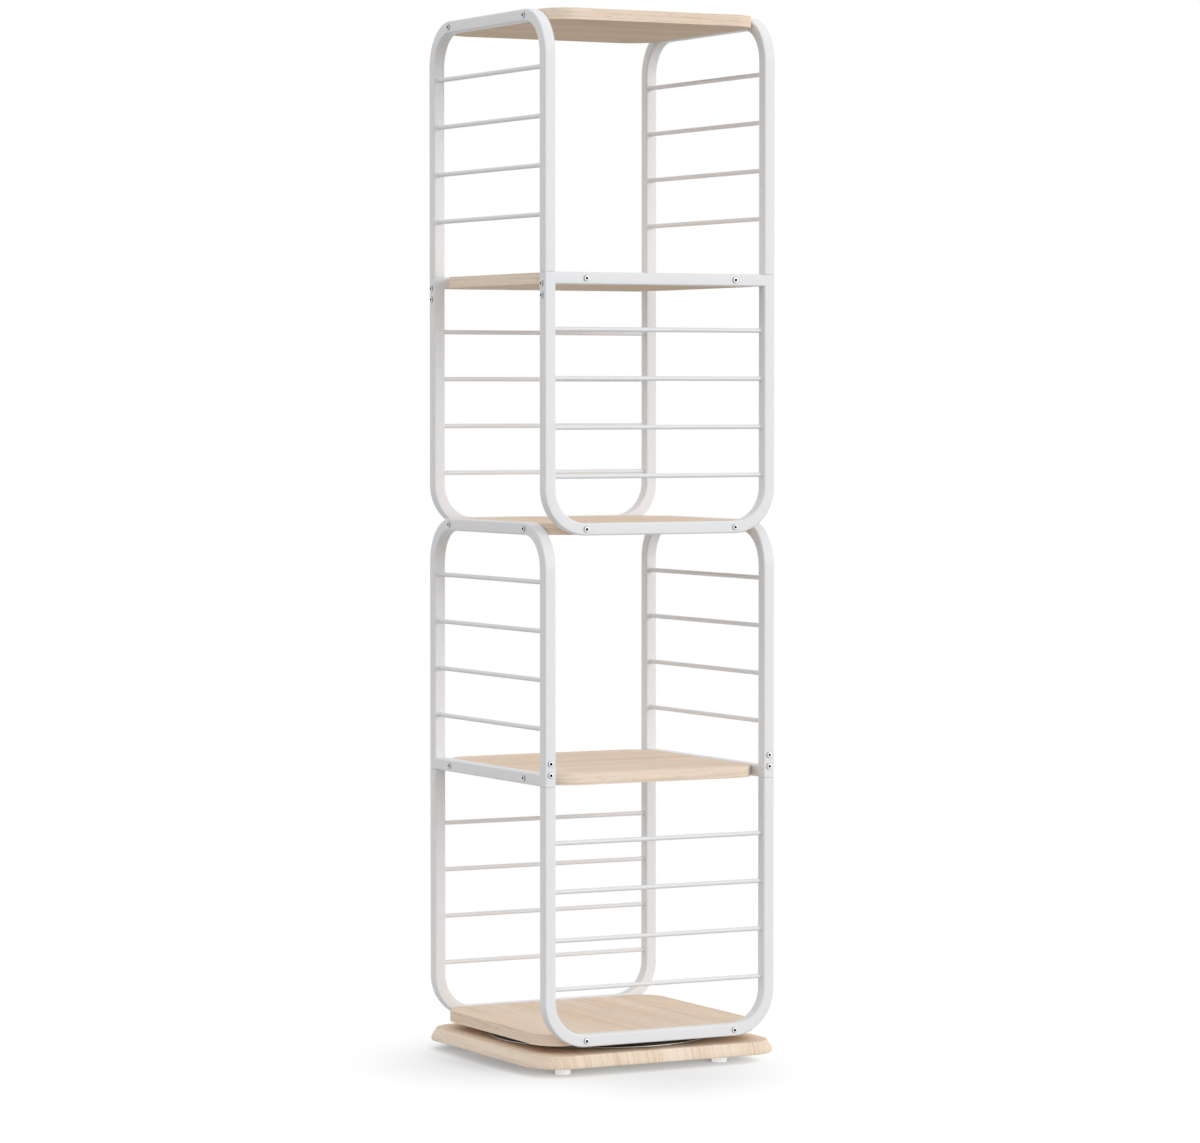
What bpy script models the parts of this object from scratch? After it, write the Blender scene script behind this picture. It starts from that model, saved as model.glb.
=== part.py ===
"""Revolving bookcase: a tower of four tiers on a round turntable and a square base plate.

Metres, +Z up. The origin is on the floor, below the centre of the base plate.
+X runs along the front, from left to right, and -Y is the front.
"""

import math

import bmesh
import bpy
from mathutils import Matrix

MM = 0.001

# Driving dimensions: the tower
TOWER_WIDTH = 340 * MM
FRAME_HEIGHT = 339 * MM
TUBE_SIZE = 16 * MM
TUBE_WALL = 1.2 * MM
TUBE_CORNER_RADIUS = 2.2 * MM
BEND_OUTER_RADIUS = 60 * MM
ROD_DIAMETER = 6 * MM
ROD_COUNT = 4
FIRST_ROD_BELOW_BEND_TOP = 76.1 * MM
LAST_ROD_ABOVE_LEG_END = 73.6 * MM

# Driving dimensions: the boards
BOARD_THICKNESS = 15 * MM
BOARD_CORNER_RADIUS = 38 * MM
BOARD_FREE_EDGE_INSET = 8 * MM
BASE_OVERHANG = 11 * MM
BASE_THICKNESS = 16 * MM
BASE_CORNER_RADIUS = 48 * MM
BASE_EDGE_STRAIGHT = 4.5 * MM
BASE_SLOPE_WIDTH = 7 * MM
BASE_LOWER_EASE = 1.2 * MM

# Driving dimensions: the turntable bearing
RING_OUTER_RADIUS = 147.5 * MM
RING_WIDTH = 20 * MM
RING_STEP = 1.5 * MM
LOWER_RING_HEIGHT = 4.2 * MM
RING_EDGE_RADIUS = 1.2 * MM
BALL_RADIUS = 2.4 * MM
TURNTABLE_GAP = 9.7 * MM
RING_CLEARANCE = 0.5 * MM

# Driving dimensions: the feet
FOOT_RADIUS = 10.2 * MM
FOOT_HEIGHT = 15.2 * MM
FOOT_FROM_BASE_EDGE = 64 * MM
FOOT_EDGE_RADIUS = 1 * MM
FOOT_STEM_RADIUS = 2.5 * MM
FOOT_STEM_LENGTH = 9 * MM

# Driving dimensions: the screws
SCREW_FROM_FRAME_END = 60 * MM
JOINT_SCREW_FROM_SEAM = 15 * MM
JOINT_SCREW_SPACING = 15 * MM
SCREW_SHANK_RADIUS = 2 * MM
SCREW_HEAD_RADIUS = 3.8 * MM
SCREW_HEAD_HEIGHT = 2.2 * MM
SCREW_RIM_HEIGHT = 0.9 * MM
SOCKET_ACROSS_FLATS = 2.5 * MM
SOCKET_DEPTH = 1.4 * MM
SHELF_SCREW_GRIP = 20 * MM
JOINT_SCREW_LENGTH = 10 * MM
SPIGOT_LENGTH = 42 * MM
SPIGOT_ROOT = 12 * MM

# Clearances
SEAT_GAP = 0.2 * MM
BOARD_GAP = 0.3 * MM
SPIGOT_GAP = 0.3 * MM
HOLE_CLEARANCE = 0.3 * MM
STEM_CLEARANCE = 0.3 * MM
TIP_CLEARANCE = 1 * MM
SEAM_GAP = 0.2 * MM
BALL_CLEARANCE = 0.3 * MM
CUT_PAST = 1 * MM
WELD_DEPTH = 3 * MM
WELD_STEP = 0.1 * MM

# Resolution
BEND_STEPS = 8
CORNER_STEPS = 1
BOARD_CORNER_STEPS = 7
RING_STEPS = 48
ROUND_STEPS = 16
ROD_STEPS = 8
HOLE_STEPS = 8
HEAD_STEPS = 12
SHANK_STEPS = 6
SMOOTH_ANGLE = math.radians(30)

# Levels above the floor
HALF_WIDTH = TOWER_WIDTH / 2
BASE_HALF_WIDTH = HALF_WIDTH + BASE_OVERHANG
POST_CENTRE = HALF_WIDTH - TUBE_SIZE / 2
INNER_FACE = HALF_WIDTH - TUBE_SIZE
BASE_UNDERSIDE = FOOT_HEIGHT + SEAT_GAP
BASE_TOP = BASE_UNDERSIDE + BASE_THICKNESS
TOWER_BOTTOM = BASE_TOP + TURNTABLE_GAP
LOWER_SEAM = TOWER_BOTTOM + FRAME_HEIGHT
MIDDLE_BAR_TOP = LOWER_SEAM + FRAME_HEIGHT
MIDDLE_BAR_BOTTOM = MIDDLE_BAR_TOP - TUBE_SIZE
UPPER_SEAM = MIDDLE_BAR_BOTTOM + FRAME_HEIGHT
TOWER_TOP = UPPER_SEAM + FRAME_HEIGHT
BOARD_ABOVE_BAR_BOTTOM = (TUBE_SIZE - BOARD_THICKNESS) / 2

# Places that follow from the sizes
ROD_SPACING = (FRAME_HEIGHT - FIRST_ROD_BELOW_BEND_TOP - LAST_ROD_ABOVE_LEG_END) / (ROD_COUNT - 1)
SCREW_FROM_CENTRE = HALF_WIDTH - SCREW_FROM_FRAME_END
JOINT_SCREWS_FROM_SEAM = (JOINT_SCREW_FROM_SEAM, JOINT_SCREW_FROM_SEAM + JOINT_SCREW_SPACING)
FOOT_FROM_CENTRE = BASE_HALF_WIDTH - FOOT_FROM_BASE_EDGE
BALL_ROW_RADIUS = RING_OUTER_RADIUS - RING_WIDTH / 2
HOLE_RADIUS = SCREW_SHANK_RADIUS + HOLE_CLEARANCE
SHELF_SCREW_LENGTH = TUBE_SIZE + BOARD_GAP + SHELF_SCREW_GRIP

# Colours as linear values, with roughness and metallic share
LOOKS = {
    "white_steel": ((0.80, 0.80, 0.81), 0.35, 0.0),
    "oak_board": ((0.62, 0.48, 0.35), 0.50, 0.0),
    "bearing_metal": ((0.62, 0.62, 0.60), 0.30, 1.0),
    "white_plastic": ((0.82, 0.82, 0.82), 0.45, 0.0),
    "screw_steel": ((0.50, 0.50, 0.50), 0.35, 1.0),
}


def look(name):
    """The material of one kind of piece."""
    material = bpy.data.materials.get(name)
    if material is None:
        colour, roughness, metallic = LOOKS[name]
        material = bpy.data.materials.new(name)
        material.use_nodes = True
        shader = material.node_tree.nodes["Principled BSDF"]
        shader.inputs["Base Color"].default_value = (*colour, 1.0)
        shader.inputs["Roughness"].default_value = roughness
        shader.inputs["Metallic"].default_value = metallic
        material.diffuse_color = (*colour, 1.0)
    return material


def add_object(name, mesh, material=None):
    """Puts a mesh into the scene under a name."""
    piece = bpy.data.objects.new(name, mesh)
    bpy.context.scene.collection.objects.link(piece)
    if material is not None:
        mesh.materials.clear()
        mesh.materials.append(look(material))
    return piece


def finish_mesh(bm, name):
    """Turns a bmesh into a mesh whose faces point out."""
    bmesh.ops.recalc_face_normals(bm, faces=bm.faces)
    mesh = bpy.data.meshes.new(name)
    bm.to_mesh(mesh)
    bm.free()
    return mesh


def loft(bm, rings):
    """Joins equal rings of points with side faces and caps both ends."""
    loops = [[bm.verts.new(point) for point in ring] for ring in rings]
    count = len(loops[0])
    for low, high in zip(loops, loops[1:]):
        for k in range(count):
            after = (k + 1) % count
            bm.faces.new((low[k], low[after], high[after], high[k]))
    bm.faces.new(list(reversed(loops[0])))
    bm.faces.new(loops[-1])


def turned(bm, profile, steps, centre=(0, 0)):
    """Turns a closed (radius, z) profile about a vertical line. A zero radius closes on the line."""
    rows = []
    for radius, z in profile:
        if radius == 0:
            rows.append([bm.verts.new((centre[0], centre[1], z))])
        else:
            row = []
            for k in range(steps):
                angle = 2 * math.pi * k / steps
                x = centre[0] + radius * math.cos(angle)
                y = centre[1] + radius * math.sin(angle)
                row.append(bm.verts.new((x, y, z)))
            rows.append(row)
    closed = all(radius > 0 for radius, z in profile)
    pairs = list(zip(rows, rows[1:]))
    if closed:
        pairs.append((rows[-1], rows[0]))
    for a, b in pairs:
        for k in range(steps):
            after = (k + 1) % steps
            corners = [a[k % len(a)], a[after % len(a)], b[after % len(b)], b[k % len(b)]]
            unique = list(dict.fromkeys(corners))
            if len(unique) > 2:
                bm.faces.new(unique)


def rounded_outline(half_x, half_y, radius, steps):
    """Corner points of a rectangle with round corners, in the XY plane."""
    points = []
    for quarter, (sx, sy) in enumerate(((1, 1), (-1, 1), (-1, -1), (1, -1))):
        cx = sx * (half_x - radius)
        cy = sy * (half_y - radius)
        for k in range(steps + 1):
            angle = math.pi / 2 * (quarter + k / steps)
            points.append((cx + radius * math.cos(angle), cy + radius * math.sin(angle)))
    return points


def combined(name, body, joined=(), cut=()):
    """The mesh of a body with other meshes joined to it, then others cut away."""
    carrier = add_object(name, body)
    helpers = []
    for operation, meshes in (("UNION", joined), ("DIFFERENCE", cut)):
        for mesh in meshes:
            helper = add_object(mesh.name, mesh)
            helper.hide_render = True
            helper.display_type = "WIRE"
            helpers.append(helper)
            step = carrier.modifiers.new(mesh.name, "BOOLEAN")
            step.operation = operation
            step.solver = "EXACT"
            step.object = helper
    bpy.context.view_layer.update()
    graph = bpy.context.evaluated_depsgraph_get()
    result = bpy.data.meshes.new_from_object(carrier.evaluated_get(graph))
    result.name = name
    for piece in [carrier] + helpers:
        bpy.data.objects.remove(piece, do_unlink=True)
    return result


def shaded(mesh):
    """Smooth shading with the sharp edges kept."""
    mesh.shade_smooth()
    mesh.set_sharp_from_angle(angle=SMOOTH_ANGLE)
    return mesh


for old in list(bpy.data.objects):
    bpy.data.objects.remove(old, do_unlink=True)


# Side frames. A frame is drawn as the front one: legs down, bends up, leg ends at z = 0.

BEND_RADIUS = BEND_OUTER_RADIUS - TUBE_SIZE / 2
BAR_LEVEL = FRAME_HEIGHT - TUBE_SIZE / 2
FRAME_PLANE = -POST_CENTRE


def frame_path(start_z):
    """Centre line of the bent tube from the left leg's end to the right leg's, as (x, z, direction)."""
    points = [(-POST_CENTRE, start_z, math.pi / 2)]
    for side in (-1, 1):
        centre_x = side * (POST_CENTRE - BEND_RADIUS)
        centre_z = BAR_LEVEL - BEND_RADIUS
        for k in range(BEND_STEPS + 1):
            turn = math.pi / 2 * k / BEND_STEPS
            angle = math.pi - turn if side < 0 else math.pi / 2 - turn
            x = centre_x + BEND_RADIUS * math.cos(angle)
            z = centre_z + BEND_RADIUS * math.sin(angle)
            points.append((x, z, angle - math.pi / 2))
    points.append((POST_CENTRE, start_z, -math.pi / 2))
    return points


def tube_section(size, corner, steps):
    """Section points of a square tube, with round corners or, where the radius is zero, sharp ones."""
    half = size / 2
    if corner:
        return rounded_outline(half, half, corner, steps)
    return [(half, half), (-half, half), (-half, -half), (half, -half)]


def swept_tube(name, size, corner, steps, start_z):
    """The bent tube's solid for one section size."""
    section = tube_section(size, corner, steps)
    bm = bmesh.new()
    rings = []
    for x, z, direction in frame_path(start_z):
        outward_x = -math.sin(direction)
        outward_z = math.cos(direction)
        rings.append([(x + outward_x * a, FRAME_PLANE + b, z + outward_z * a) for a, b in section])
    loft(bm, rings)
    return finish_mesh(bm, name)


def straight_tube(name, size, corner, steps, half_length):
    """The crossbar's solid for one section size, at the leg ends."""
    section = tube_section(size, corner, steps)
    bm = bmesh.new()
    rings = []
    for x in (-half_length, half_length):
        rings.append([(x, FRAME_PLANE + a, TUBE_SIZE / 2 + b) for a, b in section])
    loft(bm, rings)
    return finish_mesh(bm, name)


def frame_rods():
    """The thin cross rods, whose ends stop inside the legs' walls."""
    bm = bmesh.new()
    reach = INNER_FACE + TUBE_WALL / 2
    for k in range(ROD_COUNT):
        z = FRAME_HEIGHT - FIRST_ROD_BELOW_BEND_TOP - k * ROD_SPACING
        ring = []
        for j in range(ROD_STEPS):
            angle = 2 * math.pi * (j + 0.5) / ROD_STEPS
            ring.append((math.cos(angle) * ROD_DIAMETER / 2, math.sin(angle) * ROD_DIAMETER / 2))
        loft(bm, [[(x, FRAME_PLANE + a, z + b) for a, b in ring] for x in (-reach, reach)])
    return finish_mesh(bm, "rods")


def round_hole(bm, centre, axis, reach, radius=HOLE_RADIUS):
    """A round cutter along the X or the Y axis, from the centre both ways."""
    rings = []
    for end in (-reach, reach):
        ring = []
        for j in range(HOLE_STEPS):
            angle = 2 * math.pi * (j + 0.5) / HOLE_STEPS
            a = radius * math.cos(angle)
            b = radius * math.sin(angle)
            if axis == "X":
                ring.append((centre[0] + end, centre[1] + a, centre[2] + b))
            else:
                ring.append((centre[0] + a, centre[1] + end, centre[2] + b))
        rings.append(ring)
    loft(bm, rings)


def bar_screw_holes(levels):
    """Holes for the shelf screws right through the bars at some levels."""
    bm = bmesh.new()
    for z in levels:
        for side in (-1, 1):
            round_hole(bm, (side * SCREW_FROM_CENTRE, FRAME_PLANE, z), "Y", TUBE_SIZE / 2 + CUT_PAST)
    return finish_mesh(bm, "bar_screw_holes")


def hollow(start_z):
    """The tube's inside, open past the leg ends."""
    return swept_tube("hollow", TUBE_SIZE - 2 * TUBE_WALL, 0, 0, start_z)


def spigots():
    """The plugs in the open frame's legs, which stand out to enter the next frame's posts."""
    bm = bmesh.new()
    root = TUBE_SIZE / 2 - TUBE_WALL / 2
    stub = TUBE_SIZE / 2 - TUBE_WALL - SPIGOT_GAP
    tip = stub - SPIGOT_GAP
    for side in (-1, 1):
        x = side * POST_CENTRE
        rings = []
        for half, z in (
            (tip, -SPIGOT_LENGTH),
            (stub, -SPIGOT_LENGTH + CUT_PAST),
            (stub, SEAM_GAP),
            (root, SEAM_GAP),
            (root, SPIGOT_ROOT),
        ):
            ring = []
            for a, b in ((-1, -1), (1, -1), (1, 1), (-1, 1)):
                ring.append((x + a * half, FRAME_PLANE + b * half, z))
            rings.append(ring)
        loft(bm, rings)
    return finish_mesh(bm, "spigots")


def spigot_screw_holes():
    """Blind holes in the spigots, from the frame's outer side."""
    bm = bmesh.new()
    depth = JOINT_SCREW_LENGTH + TIP_CLEARANCE
    mouth = -HALF_WIDTH
    for z in JOINT_SCREWS_FROM_SEAM:
        for side in (-1, 1):
            round_hole(bm, (side * POST_CENTRE, mouth, -z), "Y", depth)
    return finish_mesh(bm, "spigot_screw_holes")


def post_screw_holes():
    """Holes in the outer walls of the closed frame's posts."""
    bm = bmesh.new()
    for z in JOINT_SCREWS_FROM_SEAM:
        for side in (-1, 1):
            round_hole(bm, (side * HALF_WIDTH, FRAME_PLANE, z), "X", TUBE_SIZE / 2)
    return finish_mesh(bm, "post_screw_holes")


# Open frame: bent tube, rods and spigots. Its legs end a seam gap before the next frame.
open_mesh = combined(
    "open_frame",
    swept_tube("open_tube", TUBE_SIZE, TUBE_CORNER_RADIUS, CORNER_STEPS, SEAM_GAP),
    joined=(frame_rods(),),
    cut=(hollow(-CUT_PAST), bar_screw_holes((BAR_LEVEL,))),
)
open_mesh = combined("open_frame", open_mesh, joined=(spigots(),), cut=(spigot_screw_holes(),))
shaded(open_mesh)

# Closed frame: bent tube, rods and a straight crossbar welded between the leg ends, a weld step inside
# their faces.
closed_mesh = combined(
    "closed_frame",
    swept_tube("closed_tube", TUBE_SIZE, TUBE_CORNER_RADIUS, CORNER_STEPS, 0),
    joined=(
        frame_rods(),
        straight_tube(
            "crossbar",
            TUBE_SIZE - 2 * WELD_STEP,
            TUBE_CORNER_RADIUS,
            CORNER_STEPS,
            INNER_FACE + WELD_DEPTH,
        ),
    ),
    cut=(
        hollow(-CUT_PAST),
        straight_tube("crossbar_hollow", TUBE_SIZE - 2 * TUBE_WALL, 0, 0, INNER_FACE - TUBE_WALL),
        bar_screw_holes((BAR_LEVEL, TUBE_SIZE / 2)),
        post_screw_holes(),
    ),
)
shaded(closed_mesh)

# The turning tower hangs on one empty, which stands on the turntable's axis.
axis_empty = bpy.data.objects.new("turntable_axis", None)
axis_empty.location = (0, 0, BASE_TOP)
bpy.context.scene.collection.objects.link(axis_empty)
bpy.context.view_layer.update()


def on_tower(piece):
    """Makes a piece turn with the tower, without moving it."""
    piece.parent = axis_empty
    piece.matrix_parent_inverse = axis_empty.matrix_world.inverted()
    return piece


QUARTER = math.pi / 2
for node, mesh, level, upside_down, quarters in (
    ("frame_top_left", open_mesh, UPPER_SEAM, False, -1),
    ("frame_top_right", open_mesh, UPPER_SEAM, False, 1),
    ("frame_upper_front", closed_mesh, UPPER_SEAM, True, 2),
    ("frame_upper_back", closed_mesh, UPPER_SEAM, True, 0),
    ("frame_lower_left", closed_mesh, LOWER_SEAM, False, -1),
    ("frame_lower_right", closed_mesh, LOWER_SEAM, False, 1),
    ("frame_bottom_front", open_mesh, LOWER_SEAM, True, 2),
    ("frame_bottom_back", open_mesh, LOWER_SEAM, True, 0),
):
    frame = on_tower(add_object(node, mesh, "white_steel"))
    frame.location = (0, 0, level)
    frame.rotation_euler = (math.pi if upside_down else 0, 0, quarters * QUARTER)


# Shelf boards. Two opposite edges, along X or along Y, are screwed to bars. The middle board's four are.

def board_mesh(name, screwed_x, screwed_y):
    """A board centred on its own origin, with pilot holes in the screwed edges (X: left and right)."""
    held = INNER_FACE - BOARD_GAP
    free = HALF_WIDTH - BOARD_FREE_EDGE_INSET
    outline = rounded_outline(
        held if screwed_x else free,
        held if screwed_y else free,
        BOARD_CORNER_RADIUS,
        BOARD_CORNER_STEPS,
    )
    bm = bmesh.new()
    half = BOARD_THICKNESS / 2
    loft(bm, [[(x, y, z) for x, y in outline] for z in (-half, half)])
    body = finish_mesh(bm, name)
    bm = bmesh.new()
    reach = SHELF_SCREW_GRIP + TIP_CLEARANCE
    for a in (-SCREW_FROM_CENTRE, SCREW_FROM_CENTRE):
        for side in (-1, 1):
            if screwed_x:
                round_hole(bm, (side * held, a, 0), "X", reach)
            if screwed_y:
                round_hole(bm, (a, side * held, 0), "Y", reach)
    return shaded(combined(name, body, cut=(finish_mesh(bm, "pilot_holes"),)))


side_held = board_mesh("side_held_board", True, False)
front_held = board_mesh("front_held_board", False, True)
all_held = board_mesh("all_held_board", True, True)
for node, mesh, bar_bottom in (
    ("shelf_top", side_held, TOWER_TOP - TUBE_SIZE),
    ("shelf_upper", front_held, UPPER_SEAM - TUBE_SIZE),
    ("shelf_middle", all_held, MIDDLE_BAR_BOTTOM),
    ("shelf_lower", side_held, LOWER_SEAM),
    ("shelf_bottom", front_held, TOWER_BOTTOM),
):
    shelf = on_tower(add_object(node, mesh, "oak_board"))
    shelf.location = (0, 0, bar_bottom + BOARD_ABOVE_BAR_BOTTOM + BOARD_THICKNESS / 2)


# Button-head screw: its head's seat is at the origin and its shank runs along +Y.

def screw_mesh(name, length):
    """A screw with a domed head and a hexagon socket."""
    bm = bmesh.new()
    socket_radius = SOCKET_ACROSS_FLATS / 2 / math.cos(math.pi / SHANK_STEPS)
    rows = []
    for radius, y, steps in (
        (SCREW_SHANK_RADIUS, length, SHANK_STEPS),
        (SCREW_SHANK_RADIUS, 0, SHANK_STEPS),
        (SCREW_HEAD_RADIUS, 0, HEAD_STEPS),
        (SCREW_HEAD_RADIUS, -SCREW_RIM_HEIGHT, HEAD_STEPS),
        (socket_radius, -SCREW_HEAD_HEIGHT, SHANK_STEPS),
        (socket_radius, -SCREW_HEAD_HEIGHT + SOCKET_DEPTH, SHANK_STEPS),
    ):
        row = []
        for k in range(steps):
            angle = 2 * math.pi * k / steps
            row.append(bm.verts.new((radius * math.cos(angle), y, radius * math.sin(angle))))
        rows.append(row)
    bm.faces.new(rows[0])
    bm.faces.new(rows[-1])
    for a, b in zip(rows, rows[1:]):
        if len(a) == len(b):
            for k in range(len(a)):
                after = (k + 1) % len(a)
                bm.faces.new((a[k], a[after], b[after], b[k]))
            continue
        few, many = (a, b) if len(a) < len(b) else (b, a)
        ratio = len(many) // len(few)
        for k in range(len(few)):
            after = (k + 1) % len(few)
            fan = [many[(k * ratio + j) % len(many)] for j in range(ratio + 1)]
            bm.faces.new((few[k], fan[0], fan[1]))
            bm.faces.new((few[k], fan[1], few[after]))
            bm.faces.new((few[after], fan[1], fan[2]))
    return shaded(finish_mesh(bm, name))


long_screw = screw_mesh("shelf_screw", SHELF_SCREW_LENGTH)
short_screw = screw_mesh("joint_screw", JOINT_SCREW_LENGTH)


def place_screw(node, mesh, across, level, quarters):
    """Drives a screw into the front side, turned by quarters about the vertical axis."""
    screw = on_tower(add_object(node, mesh, "screw_steel"))
    spin = Matrix.Rotation(quarters * QUARTER, 4, "Z")
    screw.matrix_world = spin @ Matrix.Translation((across, -HALF_WIDTH - SEAT_GAP, level))
    return screw


# Shelf screws: two in each bar, on the two sides that carry the board.
FRONT_BACK = (0, 2)
LEFT_RIGHT = (-1, 1)
number = 0
for bar_bottom, sides in (
    (TOWER_TOP - TUBE_SIZE, LEFT_RIGHT),
    (UPPER_SEAM - TUBE_SIZE, FRONT_BACK),
    (MIDDLE_BAR_BOTTOM, LEFT_RIGHT + FRONT_BACK),
    (LOWER_SEAM, LEFT_RIGHT),
    (TOWER_BOTTOM, FRONT_BACK),
):
    for quarters in sides:
        for across in (-SCREW_FROM_CENTRE, SCREW_FROM_CENTRE):
            number += 1
            level = bar_bottom + TUBE_SIZE / 2
            place_screw("shelf_screw_%02d" % number, long_screw, across, level, quarters)

# Joint screws: two in each post of the closed frames, through its outer end face into the spigot.
number = 0
for seam, direction, sides in ((UPPER_SEAM, -1, LEFT_RIGHT), (LOWER_SEAM, 1, FRONT_BACK)):
    for quarters in sides:
        for across in (-POST_CENTRE, POST_CENTRE):
            for distance in JOINT_SCREWS_FROM_SEAM:
                number += 1
                level = seam + direction * distance
                place_screw("joint_screw_%02d" % number, short_screw, across, level, quarters)


# Turntable bearing: a lower ring with the ball row in its track, and an upper ring that runs on it.

ring_inner = RING_OUTER_RADIUS - RING_WIDTH
lower_bottom = BASE_TOP + SEAT_GAP
lower_top = lower_bottom + LOWER_RING_HEIGHT
upper_bottom = lower_top + RING_CLEARANCE
upper_top = TOWER_BOTTOM + BOARD_ABOVE_BAR_BOTTOM - SEAT_GAP
upper_outer = RING_OUTER_RADIUS - RING_STEP

bm = bmesh.new()
bead = []
for angle in (180, 120, 60, 0):
    turn = math.radians(angle)
    bead.append(
        (BALL_ROW_RADIUS + BALL_RADIUS * math.cos(turn), lower_top + BALL_RADIUS * math.sin(turn))
    )
turned(
    bm,
    [
        (RING_OUTER_RADIUS, lower_bottom),
        (RING_OUTER_RADIUS, lower_top - RING_EDGE_RADIUS),
        (RING_OUTER_RADIUS - RING_EDGE_RADIUS, lower_top),
    ]
    + bead[::-1]
    + [
        (ring_inner, lower_top),
        (ring_inner, lower_bottom),
    ],
    RING_STEPS,
)
add_object("turntable_lower_ring", shaded(finish_mesh(bm, "lower_ring")), "bearing_metal")

bm = bmesh.new()
track_radius = (BALL_RADIUS + BALL_CLEARANCE) / math.cos(math.pi / 6)
rise = lower_top - upper_bottom
track = []
for angle in (170, 120, 60, 10):
    turn = math.radians(angle)
    height = max(track_radius * math.sin(turn), -rise)
    track.append((BALL_ROW_RADIUS + track_radius * math.cos(turn), lower_top + height))
track[0] = (track[0][0], upper_bottom)
track[-1] = (track[-1][0], upper_bottom)
turned(
    bm,
    [
        (upper_outer, upper_top),
        (upper_outer, upper_bottom),
    ]
    + track[::-1]
    + [
        (ring_inner, upper_bottom),
        (ring_inner, upper_top),
    ],
    RING_STEPS,
)
on_tower(add_object("turntable_upper_ring", shaded(finish_mesh(bm, "upper_ring")), "bearing_metal"))


# Base plate: round corners and a sloped upper edge, with a hole above each foot for its stem.

rings = []
for inset, z in (
    (BASE_LOWER_EASE, BASE_UNDERSIDE),
    (0, BASE_UNDERSIDE + BASE_LOWER_EASE),
    (0, BASE_UNDERSIDE + BASE_EDGE_STRAIGHT),
    (BASE_SLOPE_WIDTH, BASE_TOP),
):
    outline = rounded_outline(
        BASE_HALF_WIDTH - inset,
        BASE_HALF_WIDTH - inset,
        BASE_CORNER_RADIUS - inset,
        BOARD_CORNER_STEPS,
    )
    rings.append([(x, y, z) for x, y in outline])
bm = bmesh.new()
loft(bm, rings)
base_body = finish_mesh(bm, "base_plate")
bm = bmesh.new()
for sx in (-1, 1):
    for sy in (-1, 1):
        radius = FOOT_STEM_RADIUS + STEM_CLEARANCE
        mouth = BASE_UNDERSIDE - CUT_PAST
        top = BASE_UNDERSIDE + FOOT_STEM_LENGTH + TIP_CLEARANCE
        turned(
            bm,
            [(0, mouth), (radius, mouth), (radius, top), (0, top)],
            HOLE_STEPS,
            (sx * FOOT_FROM_CENTRE, sy * FOOT_FROM_CENTRE),
        )
base_mesh = combined("base_plate", base_body, cut=(finish_mesh(bm, "stem_holes"),))
add_object("base_plate", shaded(base_mesh), "oak_board")

# Feet: round white pads with a stem that is knocked into the base plate.
bm = bmesh.new()
turned(
    bm,
    [
        (0, 0),
        (FOOT_RADIUS - FOOT_EDGE_RADIUS, 0),
        (FOOT_RADIUS, FOOT_EDGE_RADIUS),
        (FOOT_RADIUS, FOOT_HEIGHT),
        (FOOT_STEM_RADIUS, FOOT_HEIGHT),
        (FOOT_STEM_RADIUS, FOOT_HEIGHT + FOOT_STEM_LENGTH),
        (0, FOOT_HEIGHT + FOOT_STEM_LENGTH),
    ],
    ROUND_STEPS,
)
foot_mesh = shaded(finish_mesh(bm, "foot"))
for node, sx, sy in (
    ("foot_front_left", -1, -1),
    ("foot_front_right", 1, -1),
    ("foot_back_left", -1, 1),
    ("foot_back_right", 1, 1),
):
    foot = add_object(node, foot_mesh, "white_plastic")
    foot.location = (sx * FOOT_FROM_CENTRE, sy * FOOT_FROM_CENTRE, 0)

# Meshes that served only as helpers are left without users.
for mesh in list(bpy.data.meshes):
    if mesh.users == 0:
        bpy.data.meshes.remove(mesh)
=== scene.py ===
# Looks of the revolving bookcase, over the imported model. Metres, +Z up, -Y the front, floor at z = 0.
import math

import bmesh
import bpy
from mathutils import Matrix, Vector


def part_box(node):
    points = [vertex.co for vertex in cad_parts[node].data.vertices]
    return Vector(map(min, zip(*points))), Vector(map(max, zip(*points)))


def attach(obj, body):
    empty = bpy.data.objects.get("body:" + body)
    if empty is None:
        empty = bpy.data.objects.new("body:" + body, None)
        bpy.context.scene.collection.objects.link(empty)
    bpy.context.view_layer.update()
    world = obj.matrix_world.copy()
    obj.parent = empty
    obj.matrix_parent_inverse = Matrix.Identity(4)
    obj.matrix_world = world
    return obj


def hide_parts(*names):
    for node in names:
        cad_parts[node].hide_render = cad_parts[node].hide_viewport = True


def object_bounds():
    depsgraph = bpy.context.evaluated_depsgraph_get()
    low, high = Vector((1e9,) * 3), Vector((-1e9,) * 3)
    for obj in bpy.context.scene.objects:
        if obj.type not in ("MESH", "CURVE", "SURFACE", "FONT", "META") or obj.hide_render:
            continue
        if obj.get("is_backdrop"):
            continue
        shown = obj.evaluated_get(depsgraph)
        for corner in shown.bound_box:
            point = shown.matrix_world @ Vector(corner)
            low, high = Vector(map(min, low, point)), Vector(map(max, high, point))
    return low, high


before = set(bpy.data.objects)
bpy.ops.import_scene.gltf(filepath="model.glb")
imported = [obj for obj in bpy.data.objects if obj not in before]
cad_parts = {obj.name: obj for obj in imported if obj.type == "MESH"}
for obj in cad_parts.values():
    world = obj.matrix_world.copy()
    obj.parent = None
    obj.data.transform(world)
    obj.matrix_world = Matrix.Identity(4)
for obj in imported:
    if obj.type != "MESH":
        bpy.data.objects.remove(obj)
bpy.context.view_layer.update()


# Camera: a long lens a little above the tower's middle, which looks at the front left corner from
# about six metres away.
CAMERA_PLACE = (-2.8275, -5.3333, 0.8833)
CAMERA_TURN = math.radians(-27.93)
CAMERA_DIP = math.radians(2.223)
LENS = 136.01
SENSOR_WIDTH = 36

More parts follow.
